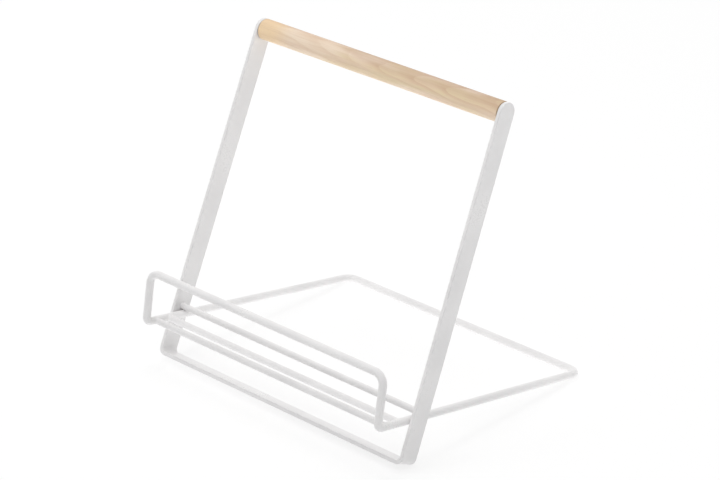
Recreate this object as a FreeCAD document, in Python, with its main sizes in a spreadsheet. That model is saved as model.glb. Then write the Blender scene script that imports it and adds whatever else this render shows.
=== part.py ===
import FreeCAD, Part
import Sketcher
import math
import os

# Cookbook stand. A flat steel strip bent to a U leans back and holds a wooden rod between its
# tops. A closed loop of wire runs along the inner faces of the uprights: in front of them it is
# the shelf and the lip that hold the book, behind them it reaches down to the table.

# Driving dimensions, in millimetres and degrees.
driving_sizes = (
    # flat strip of the upright frame
    ("strip_width", 16.0),
    ("strip_thickness", 3.0),
    ("strip_edge_radius", 0.6),
    ("strip_bend_radius", 3.0),  # inside of the two lower bends
    ("foot_width", 254.0),  # over the outer faces, at the middle of the foot bar
    ("toe_in_angle", 0.94),  # each upright leans towards the other
    ("lean_angle", 23.7),  # both uprights lean back
    ("dowel_height", 257.5),  # from the middle of the foot bar, along the uprights
    ("crossbar_height", 38.0),  # from the middle of the foot bar, along the uprights
    # wooden rod and the studs that hold it
    ("dowel_diameter", 16.0),
    ("dowel_end_gap", 0.2),
    ("dowel_chamfer", 0.6),
    ("pin_diameter", 5.0),
    ("pin_length", 8.0),
    ("pin_chamfer", 0.8),
    ("bore_clearance", 0.1),  # all round the stud
    ("bore_spare_depth", 2.0),  # beyond the stud's tip
    # bent wire loop: reaches are along the side arms, from the point under the cross bar
    ("loop_wire", 6.0),
    ("rear_reach", 182.2),
    ("shelf_reach", 39.0),
    ("lip_height", 39.8),
    ("rear_corner_radius", 9.0),  # bends are measured on the wire's centre line
    ("front_bend_radius", 4.2),
    ("lip_corner_radius", 8.5),
    # straight wires
    ("rung_wire", 5.0),
    ("front_rung_setback", 8.8),  # behind the lip
    ("rung_pitch", 13.5),
)

doc = FreeCAD.newDocument("cookbook_stand")
sheet = doc.addObject("Spreadsheet::Sheet", "sizes")
for row, (alias, number) in enumerate(driving_sizes, start=1):
    sheet.set(f"A{row}", alias)
    sheet.set(f"B{row}", str(number))
    sheet.setAlias(f"B{row}", alias)
doc.recompute()


def value(expression):
    """Number that an expression on the sheet stands for."""
    result = sheet.evalExpression(expression)
    return result.Value if hasattr(result, "Value") else float(result)


# Sizes that follow from the driving ones, as expressions on the sheet.
toe_in = "(sizes.toe_in_angle * 1 deg)"
wire_radius = "(sizes.loop_wire / 2)"
rung_radius = "(sizes.rung_wire / 2)"
dowel_radius = "(sizes.dowel_diameter / 2)"
pin_radius = "(sizes.pin_diameter / 2)"


def inner_face(height):
    """Distance of an upright's inner face from the middle of the stand, at a height along it."""
    outer = f"sizes.foot_width / 2 - ({height}) * tan({toe_in})"
    return f"({outer} - sizes.strip_thickness / cos({toe_in}))"


# Each piece between the uprights is set by the level at which its own top lies, because the
# uprights stand closest there.
arm_offset = f"({inner_face('sizes.crossbar_height')} - {wire_radius})"
crossbar_half = inner_face(f"sizes.crossbar_height + {rung_radius}")
dowel_half = f"({inner_face(f'sizes.dowel_height + {dowel_radius}')} - sizes.dowel_end_gap)"
pin_base = inner_face(f"sizes.dowel_height + {pin_radius}")
bore_depth = f"(sizes.pin_length + sizes.bore_spare_depth - ({pin_base} - {dowel_half}))"


def new_body(label):
    body = doc.addObject("PartDesign::Body", label)
    body.Label = label
    return body


def origin_plane(body, role):
    return next(plane for plane in body.Origin.OriginFeatures if plane.Role == role)


def new_sketch(body, name, role, offset=None):
    """Sketch on an origin plane of its body, moved along the plane's normal by an expression."""
    sketch = body.newObject("Sketcher::SketchObject", name)
    sketch.AttachmentSupport = (origin_plane(body, role), "")
    sketch.MapMode = "FlatFace"
    if offset:
        sketch.setExpression("AttachmentOffset.Base.z", offset)
    doc.recompute()
    return sketch


def fix(sketch, kind, *where):
    sketch.addConstraint(Sketcher.Constraint(kind, *where))


def dimension(sketch, name, expression, kind, *where):
    number = value(expression)
    if kind == "Angle":
        number = math.radians(number)
    index = sketch.addConstraint(Sketcher.Constraint(kind, *where, number))
    sketch.renameConstraint(index, name)
    sketch.setExpression(f"Constraints.{name}", expression)


def point(x, y):
    return FreeCAD.Vector(x, y, 0)


def draw_line(sketch, start, end, construction=False):
    return sketch.addGeometry(Part.LineSegment(point(*start), point(*end)), construction)


def draw_arc(sketch, centre, radius, first, last):
    circle = Part.Circle(point(*centre), FreeCAD.Vector(0, 0, 1), radius)
    return sketch.addGeometry(Part.ArcOfCircle(circle, first, last), False)


def draw_circle(sketch, name, radius, x=None, y=None):
    """Circle whose centre is given by expressions, or lies on the sketch's axes."""
    centre = point(value(x) if x else 0, value(y) if y else 0)
    ring = sketch.addGeometry(Part.Circle(centre, FreeCAD.Vector(0, 0, 1), value(radius)), False)
    dimension(sketch, f"{name}_radius", radius, "Radius", ring)
    for axis, along, kind in ((-2, x, "DistanceX"), (-1, y, "DistanceY")):
        if along:
            dimension(sketch, f"{name}_{kind}", along, kind, -1, 1, ring, 3)
        else:
            fix(sketch, "PointOnObject", ring, 3, axis)
    return ring


def pad(body, name, profile, length, symmetric=False, reverse=False):
    feature = body.newObject("PartDesign::Pad", name)
    feature.Profile = profile
    feature.SideType = "Symmetric" if symmetric else "One side"
    feature.Reversed = reverse
    feature.setExpression("Length", length)
    doc.recompute()
    return feature


def pocket(body, name, profile, depth=None):
    """Cut of the given depth against the sketch's normal, or right through both ways."""
    before = body.Shape.Volume
    feature = body.newObject("PartDesign::Pocket", name)
    feature.Profile = profile
    if depth:
        feature.setExpression("Length", depth)
    else:
        feature.Type = "ThroughAll"
        feature.SideType = "Symmetric"
    doc.recompute()
    if feature.Shape.Volume >= before:
        raise RuntimeError(f"{name} cuts nothing")
    return feature


def mirror_across_middle(body, name, originals=None):
    """Second half of a piece, or copies of some features, across the stand's middle plane."""
    feature = body.newObject("PartDesign::Mirrored", name)
    feature.MirrorPlane = (origin_plane(body, "YZ_Plane"), [""])
    if originals:
        feature.Originals = originals
    else:
        feature.TransformMode = "Whole shape"
    body.Tip = feature
    doc.recompute()
    return feature


def chamfer_rims(body, base, size, at_x):
    """Chamfer the round rims that lie at the given distances from the middle."""
    rims = []
    for number, edge in enumerate(base.Shape.Edges, start=1):
        span = edge.BoundBox
        if edge.Closed and any(abs(span.XMin - x) + abs(span.XMax - x) < 1e-3 for x in at_x):
            rims.append(f"Edge{number}")
    feature = body.newObject("PartDesign::Chamfer", "rims")
    feature.Base = (base, rims)
    feature.setExpression("Size", size)
    doc.recompute()
    return feature


def is_sharp(shape, edge):
    """True where the two faces that meet at an edge stand at a clear angle to each other."""
    middle = edge.valueAt((edge.FirstParameter + edge.LastParameter) / 2)
    normals = []
    for face in shape.ancestorsOfType(edge, Part.Face):
        normals.append(face.normalAt(*face.Surface.parameter(middle)))
    return len(normals) == 2 and normals[0].getAngle(normals[1]) > math.radians(30)


def round_sharp_edges(body, base, radius):
    shape = base.Shape
    sharp = [f"Edge{i}" for i, edge in enumerate(shape.Edges, start=1) if is_sharp(shape, edge)]
    feature = body.newObject("PartDesign::Fillet", "rounded_edges")
    feature.Base = (base, sharp)
    feature.setExpression("Radius", radius)
    doc.recompute()
    return feature


# Pieces of the leaning frame. Their own axes: X along the rod, Z up along the uprights.


def draw_half_strip(sketch):
    """Edge-on outline of half the bent strip: half the foot bar, one bend and one upright."""
    thickness = value("sizes.strip_thickness")
    inside = value("sizes.strip_bend_radius")
    half_foot = value("sizes.foot_width / 2")
    lean = math.radians(value("sizes.toe_in_angle"))
    top = value("sizes.dowel_height + sizes.strip_width")
    outside = inside + thickness
    low = -thickness / 2
    high = thickness / 2

    # the bend's centre lies at the outside radius from the underside and from the outer face
    centre_z = low + outside
    centre_x = half_foot - centre_z * math.tan(lean) - outside / math.cos(lean)
    centre = (centre_x, centre_z)
    outer_foot = (centre_x + outside * math.cos(lean), centre_z + outside * math.sin(lean))
    inner_foot = (centre_x + inside * math.cos(lean), centre_z + inside * math.sin(lean))
    outer_top = (half_foot - top * math.tan(lean), top)
    inner_top = (outer_top[0] - thickness * math.cos(lean), top - thickness * math.sin(lean))

    underside = draw_line(sketch, (0, low), (centre_x, low))
    outer_bend = draw_arc(sketch, centre, outside, -math.pi / 2, lean)
    outer_upright = draw_line(sketch, outer_foot, outer_top)
    end = draw_line(sketch, outer_top, inner_top)
    inner_upright = draw_line(sketch, inner_top, inner_foot)
    inner_bend = draw_arc(sketch, centre, inside, -math.pi / 2, lean)
    upper_side = draw_line(sketch, (centre_x, high), (0, high))
    middle = draw_line(sketch, (0, high), (0, low))
    corner = sketch.addGeometry(Part.Point(point(half_foot, 0)), True)

    fix(sketch, "Coincident", middle, 2, underside, 1)
    fix(sketch, "Coincident", upper_side, 2, middle, 1)
    fix(sketch, "Coincident", outer_upright, 2, end, 1)
    fix(sketch, "Coincident", end, 2, inner_upright, 1)
    fix(sketch, "Coincident", outer_bend, 3, inner_bend, 3)
    fix(sketch, "Tangent", underside, 2, outer_bend, 1)
    fix(sketch, "Tangent", outer_bend, 2, outer_upright, 1)
    fix(sketch, "Tangent", inner_upright, 2, inner_bend, 2)
    fix(sketch, "Tangent", inner_bend, 1, upper_side, 1)
    fix(sketch, "Horizontal", underside)
    fix(sketch, "Horizontal", upper_side)
    fix(sketch, "Symmetric", middle, 1, middle, 2, -1, 1)
    fix(sketch, "PointOnObject", middle, 1, -2)
    fix(sketch, "Perpendicular", outer_upright, end)
    fix(sketch, "Parallel", outer_upright, inner_upright)
    fix(sketch, "PointOnObject", corner, 1, -1)
    fix(sketch, "PointOnObject", corner, 1, outer_upright)
    dimension(sketch, "thickness", "sizes.strip_thickness", "DistanceY", middle, 2, middle, 1)
    dimension(sketch, "bend_radius", "sizes.strip_bend_radius", "Radius", inner_bend)
    dimension(sketch, "half_foot", "sizes.foot_width / 2", "DistanceX", -1, 1, corner, 1)
    dimension(sketch, "upright_angle", f"90 deg + {toe_in}", "Angle", outer_upright)
    end_height = "sizes.dowel_height + sizes.strip_width"
    dimension(sketch, "end_height", end_height, "DistanceY", -1, 1, outer_upright, 2)


def draw_end_trim(sketch):
    """Outline of what is cut from the strip's ends to leave them round about the rod's axis."""
    radius = value("sizes.strip_width / 2")
    height = value("sizes.dowel_height")
    side = value("sizes.strip_width")
    top = height + 2 * side
    draw_arc(sketch, (0, height), radius, 0, math.pi)
    low_left = ((-radius, height), (-side, height))
    low_right = ((side, height), (radius, height))
    corners = (*low_left, (-side, top), (side, top), *low_right)
    for start, end in zip(corners, corners[1:]):
        draw_line(sketch, start, end)
    last = len(corners) - 1
    for number in range(last):
        fix(sketch, "Coincident", number, 2, number + 1, 1)
    fix(sketch, "Coincident", last, 2, 0, 1)
    for level in (1, last):
        fix(sketch, "Horizontal", level)
        fix(sketch, "PointOnObject", 0, 3, level)
    for upright in (2, 4):
        fix(sketch, "Vertical", upright)
    fix(sketch, "PointOnObject", 0, 3, -2)
    fix(sketch, "Symmetric", 2, 2, 3, 2, -2)
    dimension(sketch, "rod_axis", "sizes.dowel_height", "DistanceY", -1, 1, 0, 3)
    dimension(sketch, "end_radius", "sizes.strip_width / 2", "Radius", 0)
    dimension(sketch, "trim_width", "2 * sizes.strip_width", "DistanceX", 2, 2, 3, 2)
    dimension(sketch, "trim_height", "2 * sizes.strip_width", "DistanceY", 2, 1, 2, 2)


def make_strip_frame():
    body = new_body("strip_frame")
    outline = new_sketch(body, "half_strip", "XZ_Plane")
    draw_half_strip(outline)
    pad(body, "bent_half", outline, "sizes.strip_width", symmetric=True)
    mirror_across_middle(body, "both_halves")
    trim = new_sketch(body, "end_trim", "YZ_Plane")
    draw_end_trim(trim)
    ends = pocket(body, "round_ends", trim)
    round_sharp_edges(body, ends, "sizes.strip_edge_radius")
    return body


def make_cross_bar():
    body = new_body("cross_bar")
    section = new_sketch(body, "section", "YZ_Plane")
    draw_circle(section, "bar", rung_radius, y="sizes.crossbar_height")
    pad(body, "bar", section, f"2 * {crossbar_half}", symmetric=True)
    return body


def make_wood_dowel():
    body = new_body("wood_dowel")
    section = new_sketch(body, "section", "YZ_Plane")
    draw_circle(section, "rod", dowel_radius, y="sizes.dowel_height")
    rod = pad(body, "rod", section, f"2 * {dowel_half}", symmetric=True)
    half = value(dowel_half)
    chamfer_rims(body, rod, "sizes.dowel_chamfer", (half, -half))
    mouth = new_sketch(body, "bore_mouth", "YZ_Plane", dowel_half)
    bore_radius = f"{pin_radius} + sizes.bore_clearance"
    draw_circle(mouth, "bore", bore_radius, y="sizes.dowel_height")
    bore = pocket(body, "bore", mouth, bore_depth)
    mirror_across_middle(body, "both_bores", [bore])
    return body


def make_dowel_pin(label, side):
    body = new_body(label)
    base = f"{side} * {pin_base}"
    section = new_sketch(body, "section", "YZ_Plane", base)
    draw_circle(section, "pin", pin_radius, y="sizes.dowel_height")
    stud = pad(body, "stud", section, "sizes.pin_length", reverse=side > 0)
    tip = value(base) - side * value("sizes.pin_length")
    chamfer_rims(body, stud, "sizes.pin_chamfer", (tip,))
    return body


# Pieces of the wire frame. Their own axes: X along the rungs, Y back along the side arms.


def wire_section(body, name, plane, offset, x, y):
    section = new_sketch(body, f"{name}_section", plane, offset)
    draw_circle(section, "wire", wire_radius, x, y)
    return section


def straight_wire(body, name, plane, offset, x, y, length):
    """Straight run of the loop, from a section on a moved origin plane along its normal."""
    pad(body, name, wire_section(body, name, plane, offset, x, y), length)


def bent_wire(body, name, plane, offset, x, y, upright_axis, axis_at):
    """Quarter bend of the loop about an axis in the plane of its first section."""
    section = wire_section(body, name, plane, offset, x, y)
    reach = value("sizes.loop_wire")
    place = value(axis_at)
    if upright_axis:
        axis = draw_line(section, (place, -reach), (place, reach), construction=True)
        fix(section, "Symmetric", axis, 1, axis, 2, -1)
        dimension(section, "bend_axis", axis_at, "DistanceX", -1, 1, axis, 1)
    else:
        axis = draw_line(section, (-reach, place), (reach, place), construction=True)
        fix(section, "Symmetric", axis, 1, axis, 2, -2)
        dimension(section, "bend_axis", axis_at, "DistanceY", -1, 1, axis, 1)
    dimension(section, "axis_length", "2 * sizes.loop_wire", "Distance", axis)
    bend = body.newObject("PartDesign::Revolution", name)
    bend.Profile = section
    bend.ReferenceAxis = (section, ["Axis0"])
    bend.Angle = 90
    bend.Reversed = True
    doc.recompute()


def make_wire_frame():
    """Half the loop, run by run from the middle of the rear bar to the middle of the lip."""
    body = new_body("wire_frame")
    rear = "sizes.rear_reach"
    front = "(-sizes.shelf_reach)"
    lip = "sizes.lip_height"
    rear_bend = "sizes.rear_corner_radius"
    front_bend = "sizes.front_bend_radius"
    lip_bend = "sizes.lip_corner_radius"
    rear_half = f"{arm_offset} - {rear_bend}"
    arm_start = f"{rear_bend} - {rear}"
    arm_end = f"sizes.shelf_reach - {front_bend}"
    post_end = f"{lip} - {lip_bend}"
    rail_half = f"{arm_offset} - {lip_bend}"

    straight_wire(body, "rear_bar", "YZ_Plane", None, rear, None, rear_half)
    bent_wire(body, "rear_corner", "YZ_Plane", rear_half, rear, None, True, f"{rear} - {rear_bend}")
    straight_wire(body, "side_arm", "XZ_Plane", arm_start, arm_offset, None, f"{arm_end} - ({arm_start})")
    bent_wire(body, "front_bend", "XZ_Plane", arm_end, arm_offset, None, False, front_bend)
    straight_wire(body, "lip_post", "XY_Plane", front_bend, arm_offset, front, f"{post_end} - {front_bend}")
    bent_wire(body, "lip_corner", "XY_Plane", post_end, arm_offset, front, True, rail_half)
    straight_wire(body, "lip_rail", "YZ_Plane", None, front, lip, rail_half)
    mirror_across_middle(body, "both_halves")
    return body


def make_shelf_rung(label, setback):
    """Straight wire whose ends are hollowed to fit against the round side arms."""
    body = new_body(label)
    section = new_sketch(body, "section", "YZ_Plane")
    draw_circle(section, "rung", rung_radius, x=f"{setback} - sizes.shelf_reach")
    pad(body, "rung", section, f"2 * {arm_offset} - {wire_radius}", symmetric=True)
    seats = new_sketch(body, "arm_seats", "XZ_Plane")
    draw_circle(seats, "right_arm", wire_radius, x=arm_offset)
    draw_circle(seats, "left_arm", wire_radius, x=f"-{arm_offset}")
    pocket(body, "end_seats", seats)
    return body


# Where the two groups stand: the foot bar rests on its rear edge and the rear bar on the table,
# and the side arms pass just under the cross bar.


def stand_placements():
    lean = math.radians(value("sizes.lean_angle"))
    edge = value("sizes.strip_edge_radius")
    across = value("sizes.strip_width / 2") - edge
    through = value("sizes.strip_thickness / 2") - edge
    foot_z = across * math.sin(lean) + through * math.cos(lean) + edge
    crossbar = value("sizes.crossbar_height")
    crossbar_z = foot_z + crossbar * math.cos(lean)

    wire = value(wire_radius)
    drop = wire + value(rung_radius)
    rear = value("sizes.rear_reach")
    sight_angle = math.asin((crossbar_z - wire) / math.hypot(rear, drop))
    arm_slope = sight_angle - math.atan2(drop, rear)

    # the middle of the depth is at Y = 0
    bend = value("sizes.front_bend_radius")
    front = value("sizes.shelf_reach")
    rear_most = rear * math.cos(arm_slope) + wire
    front_most = (bend - front) * math.cos(arm_slope) + bend * math.sin(arm_slope) - bend - wire
    wire_y = -(rear_most + front_most) / 2
    wire_z = crossbar_z - drop * math.cos(arm_slope)
    foot_y = wire_y + drop * math.sin(arm_slope) - crossbar * math.sin(lean)

    about_x = FreeCAD.Vector(1, 0, 0)
    leaning = FreeCAD.Rotation(about_x, -math.degrees(lean))
    sloping = FreeCAD.Rotation(about_x, -math.degrees(arm_slope))
    frame_place = FreeCAD.Placement(FreeCAD.Vector(0, foot_y, foot_z), leaning)
    wire_place = FreeCAD.Placement(FreeCAD.Vector(0, wire_y, wire_z), sloping)
    return frame_place, wire_place


frame_pieces = [
    make_strip_frame(),
    make_cross_bar(),
    make_wood_dowel(),
    make_dowel_pin("left_dowel_pin", -1),
    make_dowel_pin("right_dowel_pin", 1),
]
wire_pieces = [
    make_wire_frame(),
    make_shelf_rung("front_shelf_rung", "sizes.front_rung_setback"),
    make_shelf_rung("rear_shelf_rung", "sizes.front_rung_setback + sizes.rung_pitch"),
]
frame_place, wire_place = stand_placements()
for piece in frame_pieces:
    piece.Placement = frame_place
for piece in wire_pieces:
    piece.Placement = wire_place
doc.recompute()

pieces = frame_pieces + wire_pieces
for item in doc.Objects:
    if "Invalid" in item.State or "Error" in item.State:
        raise RuntimeError(f"{item.Label} failed: {item.State}")
for piece in pieces:
    if piece.Shape.isNull() or not piece.Shape.isValid() or len(piece.Shape.Solids) != 1:
        raise RuntimeError(f"{piece.Label} is not one valid solid")

os.makedirs("parts", exist_ok=True)
for piece in pieces:
    piece.Shape.exportStep(f"parts/{piece.Label}.step")
    print(piece.Label, round(piece.Shape.Volume, 1), "mm3")
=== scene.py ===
import math

import bmesh
import bpy
from bmesh.types import BMEdge, BMFace, BMVert
from mathutils import Matrix, Vector


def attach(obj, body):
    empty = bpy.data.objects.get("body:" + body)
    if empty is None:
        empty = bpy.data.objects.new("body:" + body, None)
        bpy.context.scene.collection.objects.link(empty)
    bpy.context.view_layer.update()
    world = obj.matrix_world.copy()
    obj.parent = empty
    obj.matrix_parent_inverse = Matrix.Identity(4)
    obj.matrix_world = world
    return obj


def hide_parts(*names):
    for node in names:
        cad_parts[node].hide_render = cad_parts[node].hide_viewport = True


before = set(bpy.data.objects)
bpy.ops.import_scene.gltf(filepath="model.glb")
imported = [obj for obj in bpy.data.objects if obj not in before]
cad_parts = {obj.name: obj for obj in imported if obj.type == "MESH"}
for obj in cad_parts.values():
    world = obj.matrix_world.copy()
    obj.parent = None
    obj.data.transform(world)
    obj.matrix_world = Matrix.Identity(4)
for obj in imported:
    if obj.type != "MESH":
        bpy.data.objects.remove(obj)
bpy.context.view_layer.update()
scene = bpy.context.scene
print("frame loaded:", len(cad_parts), "nodes")

# pieces are drawn in millimetres, in the flat position of their group, and take their seat at the end
seats = {
    "stripAt": (0, -85.241, 4.3985),
    "stripLean": math.radians(23.7),
    "wireAt": (0, -70.8959, 33.7727),
    "wireSlope": math.radians(9.7236),
}
toMetres = Matrix.Scale(0.001, 4)
stripSeat = toMetres @ Matrix.Translation(seats["stripAt"]) @ Matrix.Rotation(-seats["stripLean"], 4, "X")
wireSeat = toMetres @ Matrix.Translation(seats["wireAt"]) @ Matrix.Rotation(-seats["wireSlope"], 4, "X")
acrossX = Matrix.Rotation(math.radians(90), 4, "Y")


# a value socket that takes part in plain sums
class Amount:
    def __init__(self, finish, socket):
        self.finish = finish
        self.socket = socket

    def maths(self, operation, first, second):
        return self.finish.node("ShaderNodeMath", {"operation": operation}, {0: first, 1: second})

    def __add__(self, other):
        return self.maths("ADD", self, other)

    def __radd__(self, other):
        return self.maths("ADD", other, self)

    def __sub__(self, other):
        return self.maths("SUBTRACT", self, other)

    def __rsub__(self, other):
        return self.maths("SUBTRACT", other, self)

    def __mul__(self, other):
        return self.maths("MULTIPLY", self, other)

    def __rmul__(self, other):
        return self.maths("MULTIPLY", other, self)


# the node tree of one material or of the sky
class Finish:
    def __init__(self, tree):
        self.tree = tree
        tree.nodes.clear()

    # one node: settings first, then sockets; several outputs come back as a list
    def node(self, kind, settings=None, sockets=None, output=0):
        made = self.tree.nodes.new(kind)
        for name, setting in (settings or {}).items():
            setattr(made, name, setting)
        for name, given in (sockets or {}).items():
            if isinstance(given, Amount):
                self.tree.links.new(given.socket, made.inputs[name])
            else:
                made.inputs[name].default_value = given
        if isinstance(output, list):
            return [Amount(self, made.outputs[name]) for name in output]
        return Amount(self, made.outputs[output]) if made.outputs else made

    def blend(self, amount, first, second, way="MIX"):
        settings = {"data_type": "RGBA", "blend_type": way}
        return self.node("ShaderNodeMix", settings, {0: amount, 6: first, 7: second}, 2)

    def noise(self, place, scale, detail, rough):
        sockets = {"Vector": place, "Scale": scale, "Detail": detail, "Roughness": rough}
        return self.node("ShaderNodeTexNoise", {}, sockets)

    # a soft step from 0 to 1 between two levels
    def step(self, amount, low, high):
        sockets = {"Value": amount, "From Min": low, "From Max": high}
        return self.node("ShaderNodeMapRange", {"interpolation_type": "SMOOTHSTEP"}, sockets)

    def place(self, shift=(0, 0, 0), stretch=(1, 1, 1)):
        here = self.node("ShaderNodeTexCoord", {}, {}, "Object")
        moved = self.node("ShaderNodeVectorMath", {"operation": "SUBTRACT"}, {0: here, 1: shift})
        return self.node("ShaderNodeMapping", {"vector_type": "POINT"}, {"Vector": moved, "Scale": stretch})

    def split(self, vector, axes):
        return self.node("ShaderNodeSeparateXYZ", {}, {"Vector": vector}, axes)

    def painted(self, name):
        return self.node("ShaderNodeAttribute", {"attribute_name": name}, {}, "Fac")

    # 1 for a ray that shows the background: from the camera, off a gloss or through glass
    def showing(self):
        kinds = ["Is Camera Ray", "Is Glossy Ray", "Is Transmission Ray"]
        straight, glossy, through = self.node("ShaderNodeLightPath", {}, {}, kinds)
        return straight + glossy + through

    # the shader of a piece; height is the depth of its fine relief in metres
    def surface(self, tone, gloss, relief, height, ior, shine):
        bump = self.node("ShaderNodeBump", {}, {"Strength": 1.0, "Distance": height, "Height": relief})
        shader = self.node("ShaderNodeBsdfPrincipled", {}, {
            "Base Color": tone, "Roughness": gloss, "Normal": bump, "IOR": ior, "Specular IOR Level": shine})
        self.node("ShaderNodeOutputMaterial", {}, {"Surface": shader})


def newFinish(name):
    material = bpy.data.materials.new(name)
    material.use_nodes = True
    return material, Finish(material.node_tree)


# white powder coat: satin, a fine orange peel, a little thinner over the strip's edges and on the welds
coat = {
    "white": (0.87, 0.861, 0.86, 1),
    "shade": (0.815, 0.806, 0.808, 1),
    "thin": (0.70, 0.692, 0.69, 1),
    # noises: bumps to the metre, detail, roughness
    "cloud": (26, 3, 0.55),
    "peel": (950, 2, 0.45),
    "pits": (2470, 1, 0.5),
    "wear": (160, 4, 0.6),
    "seam": (420, 3, 0.6),
    # from where a noise begins to tint the coat to where it tints it most, and how much
    "cloudSpan": (0.3, 0.72),
    # the peel's tint is painted shade: its hollows are drawn darker
    "peelHollowSpan": (0.56, 0.34), "peelHollowShade": 0.14,
    "wearSpan": (0.38, 0.7), "wearTint": 0.55,
    "seamSpan": (0.45, 0.75), "seamTint": 0.35,
    # depth of the peel in metres, the pits and weld seams as multiples of it
    "peelHeight": 0.00002, "pitHeight": 0.22, "seamHeight": 3,
    # roughness, and what each noise adds to it
    "gloss": 0.23, "cloudGloss": 0.07, "peelGloss": 0.05, "wearGloss": 0.08,
    "ior": 1.5, "shine": 0.5,
}


def makeCoat():
    material, finish = newFinish("powderCoat")
    here = finish.place()
    cloud = finish.noise(here, *coat["cloud"])
    peel = finish.noise(here, *coat["peel"])
    pits = finish.noise(here, *coat["pits"])
    wear = finish.noise(here, *coat["wear"])
    seam = finish.noise(here, *coat["seam"])
    weld = finish.painted("weld")
    worn = finish.painted("thinEdge") * finish.step(wear, *coat["wearSpan"])
    rough = weld * finish.step(seam, *coat["seamSpan"])
    tone = finish.blend(finish.step(cloud, *coat["cloudSpan"]), coat["white"], coat["shade"])
    # painted shade in the hollows of the orange peel
    tone = finish.blend(finish.step(peel, *coat["peelHollowSpan"]) * coat["peelHollowShade"], tone, coat["shade"])
    tone = finish.blend(worn * coat["wearTint"], tone, coat["thin"])
    tone = finish.blend(rough * coat["seamTint"], tone, coat["thin"])
    relief = peel + pits * coat["pitHeight"] + weld * seam * coat["seamHeight"]
    gloss = coat["gloss"] + cloud * coat["cloudGloss"] + peel * coat["peelGloss"] + worn * coat["wearGloss"]
    finish.surface(tone, gloss, relief, coat["peelHeight"], coat["ior"], coat["shine"])
    return material


# pale wood: growth rings round a pith behind and below the bar, fine fibres and short pores along it
wood = {
    "centre": (0, 0.01826, 0.24018),
    "pale": (0.935, 0.78, 0.62, 1),
    "straw": (0.815, 0.66, 0.425, 1),
    "rosy": (0.835, 0.635, 0.475, 1),
    "warm": (0.74, 0.535, 0.365, 1),
    "pore": (0.56, 0.39, 0.245, 1),
    # dark end grain; on the rim it is also painted shade for the seam against the upright
    "endGrainSeamTone": (0.40, 0.27, 0.165, 1),
    "amber": (0.955, 0.715, 0.44, 1),
    # the heart colour tints the heartwood, and also gives the painted shade on the bar's top and rear
    "heart": (0.74, 0.68, 0.655, 1),        # multiplies the tone
    "pith": (0, 0.030, -0.055),
    "sawn": (0, math.radians(-4.6), math.radians(-2.4)),
    "ringPitch": 0.0034,
    "waver": 2.1,                           # in rings
    "lateSpan": (0.35, 0.93), "springSpan": (0.95, 1.0),
    # heartwood: its slant along the bar and its border; painted shade: where it darkens the bar's top and
    # rear, in metres
    "heartSlant": 0.106, "heartSpan": (0.0018, 0.006),
    "topShadeSpan": (0.002, 0.0075), "rearShadeSpan": (-0.003, 0.004),
    "amberSpan": (-0.083, -0.108),          # the left end is yellower
    # noises: stretch along and across the bar, detail, roughness
    "driftRun": ((17, 60, 60), 2, 0.5),
    "patchRun": ((14, 75, 75), 2, 0.5),
    "blushRun": ((19, 110, 110), 2, 0.5),
    "blushAt": (0.21, 0.05, 0.11),
    "boldRun": ((7, 170, 170), 2, 0.5),
    "fibreRun": ((22, 1500, 1500), 3, 0.6),
    "threadRun": ((60, 4200, 4200), 2, 0.5),
    "poreRun": ((240, 5200, 5200), 1, 0.4),
    # from where a noise begins to show to where it shows in full, and how much
    "patchSpan": (0.42, 0.60), "strawTint": 0.85,
    "blushSpan": (0.44, 0.66), "rosyTint": 0.7,
    "boldSpan": (0.34, 0.66), "faintLate": 0.35, "sapLate": 0.6, "lateTint": 0.9,
    "fibreSpan": (0.42, 0.72), "fibreTint": 0.38,
    "threadSpan": (0.3, 0.5), "threadTint": 0.16,
    # painted shade on the bar's top and rear, and the heartwood's share of the shade on the top
    "topShadeTint": 0.2, "heartAndShadeTint": 0.55, "rearShadeTint": 0.7, "amberTint": 0.8,
    "poreSpan": (0.66, 0.74), "poreTint": 0.25, "latePoreTint": 0.3,
    "endGrainSeamTint": 0.85,
    # depth of the relief in metres, and the share of each part in it
    "reliefHeight": 0.00003, "fibreHeight": 0.7, "threadHeight": 0.35, "poreDepth": 0.9, "lateDepth": 0.25,
    # roughness, and what fibres and pores add to it
    "gloss": 0.45, "fibreGloss": 0.12, "poreGloss": 0.15,
    "ior": 1.46, "shine": 0.4,
}


def woodNoise(finish, run, at="centre"):
    stretch, detail, rough = wood[run]
    return finish.noise(finish.place(wood[at], stretch), 1, detail, rough)


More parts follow.
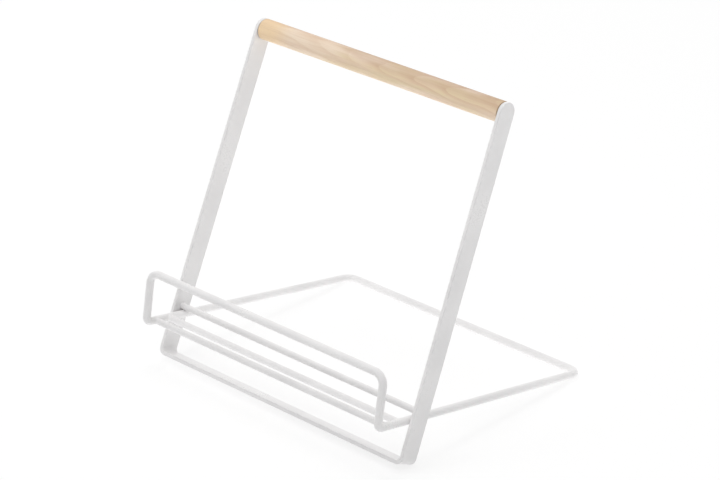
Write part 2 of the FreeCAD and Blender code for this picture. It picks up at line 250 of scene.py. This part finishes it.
def makeWood():
    material, finish = newFinish("paleWood")
    along = finish.place(wood["centre"])
    drift = woodNoise(finish, "driftRun")
    patch = woodNoise(finish, "patchRun")
    blush = woodNoise(finish, "blushRun", "blushAt")
    fibre = woodNoise(finish, "fibreRun")
    thread = woodNoise(finish, "threadRun")
    bold = finish.step(woodNoise(finish, "boldRun"), *wood["boldSpan"])
    pore = finish.step(woodNoise(finish, "poreRun"), *wood["poreSpan"])
    # the bar was sawn slightly across the grain, so the rings run out along it
    sawn = finish.node("ShaderNodeMapping", {"vector_type": "POINT"}, {
        "Vector": along, "Location": [-part for part in wood["pith"]], "Rotation": wood["sawn"]})
    flat = finish.node("ShaderNodeVectorMath", {"operation": "MULTIPLY"}, {0: sawn, 1: (0, 1, 1)})
    radius = finish.node("ShaderNodeVectorMath", {"operation": "LENGTH"}, {0: flat}, "Value")
    rings = radius * (1 / wood["ringPitch"]) + drift * wood["waver"]
    year = finish.node("ShaderNodeMath", {"operation": "FRACT"}, {0: rings})
    late = finish.step(year, *wood["lateSpan"]) * (1 - finish.step(year, *wood["springSpan"]))
    # darker heartwood comes in at a slant from the upper right; the rest is sapwood with a fainter figure
    x, y, z = finish.split(along, ["X", "Y", "Z"])
    heart = finish.step(z + x * wood["heartSlant"], *wood["heartSpan"])
    # painted shade: the bar's top and its rear are darkened
    topShadeMask = finish.step(z, *wood["topShadeSpan"])
    rear = finish.step(y, *wood["rearShadeSpan"])
    late = late * (wood["faintLate"] + bold * (1 - wood["faintLate"]))
    late = late * (wood["sapLate"] + heart * (1 - wood["sapLate"]))
    patches = finish.step(patch, *wood["patchSpan"])
    tone = finish.blend(patches * wood["strawTint"], wood["pale"], wood["straw"])
    tone = finish.blend(finish.step(blush, *wood["blushSpan"]) * wood["rosyTint"], tone, wood["rosy"])
    tone = finish.blend(late * wood["lateTint"], tone, wood["warm"])
    tone = finish.blend(finish.step(x, *wood["amberSpan"]) * wood["amberTint"], tone, wood["amber"])
    tone = finish.blend(finish.step(fibre, *wood["fibreSpan"]) * wood["fibreTint"], tone, wood["warm"])
    sheen = 1 - finish.step(thread, *wood["threadSpan"])
    tone = finish.blend(sheen * wood["threadTint"], tone, wood["pale"])
    # painted shade on the bar's top, stronger over the heartwood, and on its rear
    topShadeWithHeart = topShadeMask * (wood["topShadeTint"] + heart * wood["heartAndShadeTint"])
    tone = finish.blend(topShadeWithHeart, tone, wood["heart"], "MULTIPLY")
    tone = finish.blend(rear * wood["rearShadeTint"], tone, wood["heart"], "MULTIPLY")
    tone = finish.blend(pore * (wood["poreTint"] + late * wood["latePoreTint"]), tone, wood["pore"])
    # end grain drinks the lacquer and goes dark; on the rim the same dark tone is painted shade for the seam
    # against the upright
    tone = finish.blend(finish.painted("endGrainSeamShade") * wood["endGrainSeamTint"], tone, wood["endGrainSeamTone"])
    raised = fibre * wood["fibreHeight"] + thread * wood["threadHeight"]
    relief = raised - pore * wood["poreDepth"] - late * wood["lateDepth"]
    gloss = wood["gloss"] + fibre * wood["fibreGloss"] + pore * wood["poreGloss"]
    finish.surface(tone, gloss, relief, wood["reliefHeight"], wood["ior"], wood["shine"])
    return material


powderCoat = makeCoat()
paleWood = makeWood()
print("finishes mixed")

# distances in millimetres, and how far flats outweigh their round edges in the shading
meshing = {"mergeWithin": 0.001, "near": 0.01, "flatWeight": 50}


def wholeOf(bm):
    return bm.verts[:] + bm.edges[:] + bm.faces[:]


def cornersOf(edges):
    return list(dict.fromkeys(corner for edge in edges for corner in edge.verts))


# the open rim of a section, drawn straight on
def pullOut(bm, rim, move):
    made = bmesh.ops.extrude_edge_only(bm, edges=rim)["geom"]
    corners = [part for part in made if isinstance(part, BMVert)]
    bmesh.ops.translate(bm, verts=corners, vec=move)
    fresh = set(corners)
    return [part for part in made if isinstance(part, BMEdge) and fresh.issuperset(part.verts)]


# the open rim of a section, turned round a bend
def bendRound(bm, rim, centre, axis, angle, steps):
    made = bmesh.ops.spin(bm, geom=cornersOf(rim) + rim, cent=centre, axis=axis, angle=angle, steps=steps)
    return [part for part in made["geom_last"] if isinstance(part, BMEdge)]


# a face drawn straight on; the old face stays only where it closes the start of a piece
def pullFace(bm, face, move, closeStart=False):
    made = bmesh.ops.extrude_face_region(bm, geom=[face])["geom"]
    if not closeStart:
        bmesh.ops.delete(bm, geom=[face], context="FACES_ONLY")
    drawn = next(part for part in made if isinstance(part, BMFace))
    bmesh.ops.translate(bm, verts=drawn.verts[:], vec=move)
    return drawn


def mirrorHalf(bm):
    merge = meshing["mergeWithin"]
    bmesh.ops.mirror(bm, geom=wholeOf(bm), matrix=Matrix.Identity(4), merge_dist=merge, axis="X")


def finishPiece(bm, name, seat, material, node=None):
    bmesh.ops.remove_doubles(bm, verts=bm.verts[:], dist=meshing["mergeWithin"])
    bmesh.ops.recalc_face_normals(bm, faces=bm.faces[:])
    bmesh.ops.transform(bm, matrix=seat, verts=bm.verts[:])
    for face in bm.faces:
        face.smooth = True
    mesh = bpy.data.meshes.new(name)
    bm.to_mesh(mesh)
    bm.free()
    mesh.materials.append(material)
    piece = bpy.data.objects.new(name, mesh)
    scene.collection.objects.link(piece)
    even = piece.modifiers.new("evenShading", "WEIGHTED_NORMAL")   # flats stay flat beside their round edges
    even.weight = meshing["flatWeight"]
    if node:
        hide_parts(node)
    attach(piece, "root")
    print(name, "made:", len(mesh.polygons), "faces")


# one flat strip bent to a U, with fully round tops
strip = {
    "width": 16, "thickness": 3, "edgeRadius": 0.6, "edgeSteps": 5,
    "bendAt": 120.925, "bendRadius": 4.5, "bendSteps": 18, "toeIn": math.radians(0.94),
    "outerAtFoot": 127,         # an upright's outer face, drawn down to the middle of the foot bar
    "rodHeight": 257.5, "endSteps": 40,
}


def makeStrip():
    bm = bmesh.new()
    thinEdge = bm.verts.layers.float.new("thinEdge")
    bmesh.ops.create_grid(bm, x_segments=1, y_segments=1, size=0.5, matrix=acrossX)
    bmesh.ops.scale(bm, vec=(1, strip["width"], strip["thickness"]), verts=bm.verts[:])
    bmesh.ops.bevel(bm, geom=bm.verts[:], offset=strip["edgeRadius"], offset_type="OFFSET", affect="VERTICES",
                    segments=strip["edgeSteps"], profile=0.5, material=-1)
    for corner in bm.verts:
        onSide = abs(corner.co.y) > strip["width"] / 2 - meshing["near"]
        onFace = abs(corner.co.z) > strip["thickness"] / 2 - meshing["near"]
        corner[thinEdge] = 0 if onSide or onFace else 1
    bmesh.ops.bisect_plane(bm, geom=wholeOf(bm), plane_co=(0, 0, 0), plane_no=(0, 1, 0))
    across = [edge for edge in bm.edges if len(edge.link_faces) == 2]
    bmesh.ops.delete(bm, geom=across, context="EDGES")
    rim = pullOut(bm, bm.edges[:], (strip["bendAt"], 0, 0))
    bendCentre = Vector((strip["bendAt"], 0, strip["bendRadius"]))
    rim = bendRound(bm, rim, bendCentre, (0, -1, 0), math.radians(90) + strip["toeIn"], strip["bendSteps"])
    rise = Vector((-math.sin(strip["toeIn"]), 0, math.cos(strip["toeIn"])))
    side = Vector((math.cos(strip["toeIn"]), 0, math.sin(strip["toeIn"])))
    bendEnd = bendCentre + side * strip["bendRadius"]
    top = bendEnd + rise * ((strip["rodHeight"] - bendEnd.z) / rise.z)
    rim = pullOut(bm, rim, top - bendEnd)
    rearHalf = [edge for edge in rim if min(corner.co.y for corner in edge.verts) > -meshing["near"]]
    bendRound(bm, rearHalf, top, side, math.radians(180), strip["endSteps"])
    mirrorHalf(bm)
    finishPiece(bm, "bentStrip", stripSeat, powderCoat, "strip_frame")


# one closed loop of wire: rear bar, two side arms, two lip posts and the lip rail
wire = {
    "radius": 3, "sides": 40, "armOffset": 120.376,
    "rearReach": 182.2, "rearCorner": 9, "frontReach": 39, "frontBend": 4.2,
    "lipHeight": 39.8, "lipCorner": 8.5, "bendSteps": 18,
}


def makeWire():
    bm = bmesh.new()
    arm, rear, front, lip = wire["armOffset"], wire["rearReach"], -wire["frontReach"], wire["lipHeight"]
    rearCorner, frontBend, lipCorner = wire["rearCorner"], wire["frontBend"], wire["lipCorner"]
    quarter, steps = math.radians(90), wire["bendSteps"]
    bmesh.ops.create_circle(bm, radius=wire["radius"], segments=wire["sides"],
                            matrix=Matrix.Translation((0, rear, 0)) @ acrossX)
    rim = pullOut(bm, bm.edges[:], (arm - rearCorner, 0, 0))
    rim = bendRound(bm, rim, (arm - rearCorner, rear - rearCorner, 0), (0, 0, -1), quarter, steps)
    rim = pullOut(bm, rim, (0, front + frontBend - rear + rearCorner, 0))
    rim = bendRound(bm, rim, (arm, front + frontBend, frontBend), (-1, 0, 0), quarter, steps)
    rim = pullOut(bm, rim, (0, 0, lip - lipCorner - frontBend))
    rim = bendRound(bm, rim, (arm - lipCorner, front, lip - lipCorner), (0, -1, 0), quarter, steps)
    pullOut(bm, rim, (lipCorner - arm, 0, 0))
    mirrorHalf(bm)
    finishPiece(bm, "wireLoop", wireSeat, powderCoat, "wire_frame")


# thinner bars, each end welded on with a small hollow collar
bars = {
    "radius": 2.5, "sides": 40, "frontRungAt": -30.2, "rearRungAt": -16.7, "crossBarAt": 38, "buried": 0.4,
    "collarReach": 1.3, "collarSpread": 0.42, "collarSteps": 7, "lumps": 3, "lumpDepth": 0.14,
}


# where a bar meets the side of an arm, or the inner face of an upright, at a height
def armSide(z):
    return wire["armOffset"] - math.sqrt(max(wire["radius"] ** 2 - z * z, 0))


def uprightSide(z):
    return strip["outerAtFoot"] - z * math.tan(strip["toeIn"]) - strip["thickness"] / math.cos(strip["toeIn"])


def makeBar(name, node, seat, y, z, endAt):
    bm = bmesh.new()
    weld = bm.verts.layers.float.new("weld")
    bmesh.ops.create_circle(bm, radius=bars["radius"], segments=bars["sides"],
                            matrix=Matrix.Translation((0, y, z)) @ acrossX)
    rim = bm.edges[:]
    for step in range(bars["collarSteps"] + 1):
        done = step / bars["collarSteps"]
        turn = math.radians(90) * done
        rim = pullOut(bm, rim, (0, 0, 0))
        for corner in cornersOf(rim):
            out = Vector((0, corner.co.y - y, corner.co.z - z)).normalized()
            lobes = math.sin(bars["lumps"] * math.atan2(out.z, out.y) + y)
            lump = 1 + bars["lumpDepth"] * lobes   # no two welds are quite round
            spread = bars["radius"] + bars["collarSpread"] * lump * (1 - math.cos(turn))
            corner.co.y = y + out.y * spread
            corner.co.z = z + out.z * spread
            corner.co.x = endAt(corner.co.z) - bars["collarReach"] * lump * (1 - math.sin(turn))
            corner[weld] = done
    rim = pullOut(bm, rim, (bars["buried"], 0, 0))
    bmesh.ops.contextual_create(bm, geom=rim)
    mirrorHalf(bm)
    finishPiece(bm, name, seat, powderCoat, node)


# the weld under each side arm, in the groove between the arm and the upright
bead = {
    "outline": [(121.88, -2.62), (122.15, -3.02), (122.62, -3.34), (123.12, -3.72),
                (123.45, -4.05), (123.8, -2.0), (121.8, -1.6)],
    "centre": (122.9, -2.5), "from": -8.2, "length": 12.4, "seam": 0.6,
    "ripples": 16, "rippleDepth": 0.05, "endSize": 0.35, "endSwell": 3.4,
}


def beadSize(ripple):
    part = ripple / bead["ripples"]
    swell = min(1, bead["endSwell"] * math.sqrt(part * (1 - part)))
    full = bead["endSize"] + (1 - bead["endSize"]) * swell
    return full * (1 - bead["rippleDepth"] * (ripple % 2))


def makeBeads():
    bm = bmesh.new()
    weld = bm.verts.layers.float.new("weld")
    face = bm.faces.new([bm.verts.new((x, bead["from"], z)) for x, z in bead["outline"]])
    toCentre = Matrix.Translation((-bead["centre"][0], 0, -bead["centre"][1]))
    bmesh.ops.scale(bm, vec=(beadSize(0), 1, beadSize(0)), verts=bm.verts[:], space=toCentre)
    for ripple in range(1, bead["ripples"] + 1):
        face = pullFace(bm, face, (0, bead["length"] / bead["ripples"], 0), closeStart=ripple == 1)
        grow = beadSize(ripple) / beadSize(ripple - 1)
        bmesh.ops.scale(bm, vec=(grow, 1, grow), verts=face.verts[:], space=toCentre)
    for corner in bm.verts:
        corner[weld] = bead["seam"]
    mirrorHalf(bm)
    finishPiece(bm, "armWelds", wireSeat, powderCoat)


# the round wooden bar, with a softened rim and a blind bore for the stud at each end
rod = {
    "radius": 8, "halfLength": 119.443, "sides": 96, "rim": 0.6, "rimSteps": 4,
    "boreRadius": 2.6, "boreDepth": 9.7,
    # the dark end grain on the rim also stands for painted seam shade
    "grainRim": 0.42, "grainBore": 0.2,     # how far the dark end grain comes up the rim and past the bore
}


# the only face of a rod with more than four corners
def endFace(bm):
    return next(face for face in bm.faces if len(face.verts) > 4)


def makeRod():
    bm = bmesh.new()
    endGrainSeamShade = bm.verts.layers.float.new("endGrainSeamShade")
    bmesh.ops.create_circle(bm, radius=rod["radius"], segments=rod["sides"], cap_ends=True,
                            matrix=Matrix.Translation((0, 0, strip["rodHeight"])) @ acrossX)
    end = pullFace(bm, endFace(bm), (rod["halfLength"], 0, 0))
    bmesh.ops.bevel(bm, geom=end.edges[:], offset=rod["rim"], offset_type="OFFSET", affect="EDGES",
                    segments=rod["rimSteps"], profile=0.5, material=-1)
    wall = rod["radius"] - rod["rim"] - rod["boreRadius"]
    bmesh.ops.inset_individual(bm, faces=[endFace(bm)], thickness=wall)
    pullFace(bm, endFace(bm), (-rod["boreDepth"], 0, 0))
    for corner in bm.verts:
        fromAxis = math.hypot(corner.co.y, corner.co.z - strip["rodHeight"])
        inBore = fromAxis < rod["boreRadius"] + rod["grainBore"]
        corner[endGrainSeamShade] = 1 if inBore or corner.co.x > rod["halfLength"] - rod["grainRim"] else 0
    mirrorHalf(bm)
    finishPiece(bm, "woodBar", stripSeat, paleWood, "wood_dowel")


# a hidden stud on each upright, with an eased tip, that carries the wooden bar
stud = {"radius": 2.5, "sides": 48, "base": 119.734, "length": 8, "easing": 0.8, "easingSteps": 3}


def makeStud(name, node, side):
    bm = bmesh.new()
    bmesh.ops.create_circle(bm, radius=stud["radius"], segments=stud["sides"], cap_ends=True,
                            matrix=Matrix.Translation((side * stud["base"], 0, strip["rodHeight"])) @ acrossX)
    tip = pullFace(bm, endFace(bm), (-side * stud["length"], 0, 0), closeStart=True)
    bmesh.ops.bevel(bm, geom=tip.edges[:], offset=stud["easing"], offset_type="OFFSET", affect="EDGES",
                    segments=stud["easingSteps"], profile=0.5, material=-1)
    finishPiece(bm, name, stripSeat, powderCoat, node)


makeStrip()
makeWire()
makeBar("frontRung", "front_shelf_rung", wireSeat, bars["frontRungAt"], 0, armSide)
makeBar("rearRung", "rear_shelf_rung", wireSeat, bars["rearRungAt"], 0, armSide)
makeBar("crossBar", "cross_bar", stripSeat, 0, bars["crossBarAt"], uprightSide)
makeBeads()
makeRod()
makeStud("leftStud", "left_dowel_pin", -1)
makeStud("rightStud", "right_dowel_pin", 1)

# a white light table that keeps a faint shadow and is dimmer ahead of the stand,
# under a studio sky that is bright overhead and dark low down at the front and sides
studio = {
    "floorSize": 5, "floorSides": 64,
    "floorTone": (0.38, 0.38, 0.38, 1), "floorShade": (0.36, 0.36, 0.36, 1),
    "floorGrain": (3, 2, 0.5), "grainTint": 0.1,
    "floorLook": (0.63, 0.63, 0.63, 1), "floorRear": (1.05, 1.05, 1.05, 1), "floorFront": (0.6, 0.6, 0.6, 1),
    "aheadSlant": 0.5, "dimFrom": (-0.05, 0.2), "dimTo": (0.25, 0.7),
    "skyFront": 0.06, "skyBack": 0.70, "skySpan": (-0.9, 0.5), "sideDim": 0.96, "sideSpan": (0.0, 0.9),
    "topFront": 1.54, "topBack": 1.06, "topSpan": (-0.6, 0.4), "riseSpan": (0.3, 0.85),
    "skyLook": (1, 1, 1, 1),
    "topAt": (-0.15, -0.05, 1.6), "topPower": 2.6, "topSize": 0.5,
    "leftAt": (-1.5, 0.2, 0.7), "leftPower": 0.9, "leftSize": 0.5, "aim": (0, 0, 0.12),
}


def makeFloor():
    bm = bmesh.new()
    bmesh.ops.create_circle(bm, radius=studio["floorSize"], segments=studio["floorSides"], cap_ends=True)
    mesh = bpy.data.meshes.new("floor")
    bm.to_mesh(mesh)
    bm.free()
    floor = bpy.data.objects.new("floor", mesh)
    scene.collection.objects.link(floor)
    material, finish = newFinish("floorWhite")
    here = finish.place()
    grain = finish.noise(here, *studio["floorGrain"])
    tone = finish.blend(grain * studio["grainTint"], studio["floorTone"], studio["floorShade"])
    x, y = finish.split(here, ["X", "Y"])
    ahead = x * studio["aheadSlant"] - y
    near = finish.step(ahead, *studio["dimFrom"]) - finish.step(ahead, *studio["dimTo"])
    level = finish.blend(near, studio["floorRear"], studio["floorFront"])
    level = finish.blend(finish.showing(), level, studio["floorLook"])
    surface = finish.node("ShaderNodeBsdfPrincipled", {}, {
        "Base Color": tone, "Roughness": 1.0, "Specular IOR Level": 0.0,
        "Emission Color": level, "Emission Strength": 1.0})
    finish.node("ShaderNodeOutputMaterial", {}, {"Surface": surface})
    mesh.materials.append(material)


def makeSky():
    world = bpy.data.worlds.new("studioSky")
    world.use_nodes = True
    scene.world = world
    finish = Finish(world.node_tree)
    towards = finish.node("ShaderNodeTexCoord", {}, {}, "Generated")
    x, y, z = finish.split(towards, ["X", "Y", "Z"])
    aside = finish.node("ShaderNodeMath", {"operation": "ABSOLUTE"}, {0: x})
    low = finish.step(y, *studio["skySpan"]) * (studio["skyBack"] - studio["skyFront"]) + studio["skyFront"]
    low = low * (1 - finish.step(aside, *studio["sideSpan"]) * studio["sideDim"])
    top = finish.step(y, *studio["topSpan"]) * (studio["topBack"] - studio["topFront"]) + studio["topFront"]
    level = low + finish.step(z, *studio["riseSpan"]) * (top - low)
    grey = finish.node("ShaderNodeCombineColor", {}, {"Red": level, "Green": level, "Blue": level})
    colour = finish.blend(finish.showing(), grey, studio["skyLook"])
    sky = finish.node("ShaderNodeBackground", {}, {"Color": colour, "Strength": 1.0})
    finish.node("ShaderNodeOutputWorld", {}, {"Surface": sky})


# a lamp or camera stands at a point and looks one way
def stand(at, towards):
    return Matrix.Translation(at) @ towards.to_track_quat("-Z", "Y").to_matrix().to_4x4()


def makeLamp(name, at, power, size):
    lamp = bpy.data.lights.new(name, "AREA")
    lamp.energy = power
    lamp.size = size
    holder = bpy.data.objects.new(name, lamp)
    holder.matrix_world = stand(at, Vector(studio["aim"]) - Vector(at))
    scene.collection.objects.link(holder)


makeFloor()
makeSky()
makeLamp("topSoft", studio["topAt"], studio["topPower"], studio["topSize"])
makeLamp("leftSoft", studio["leftAt"], studio["leftPower"], studio["leftSize"])
print("studio lit")

# the photograph's view; angles in degrees
view = {
    "at": (1.32877, -1.363364, 0.9881), "azimuth": 44.328, "elevation": 24.754, "roll": -0.16,
    "lens": 142.05, "sensor": 36, "clipEnd": 50,
}


def makeCamera():
    lens = bpy.data.cameras.new("view")
    lens.lens = view["lens"]
    lens.sensor_width = view["sensor"]
    lens.clip_end = view["clipEnd"]
    azimuth, elevation = math.radians(view["azimuth"]), math.radians(view["elevation"])
    level = math.cos(elevation)
    back = Vector((math.sin(azimuth) * level, -math.cos(azimuth) * level, math.sin(elevation)))
    holder = bpy.data.objects.new("view", lens)
    holder.matrix_world = stand(view["at"], -back) @ Matrix.Rotation(math.radians(view["roll"]), 4, "Z")
    scene.collection.objects.link(holder)
    scene.camera = holder


makeCamera()
scene.view_settings.view_transform = "Standard"
print("camera set")
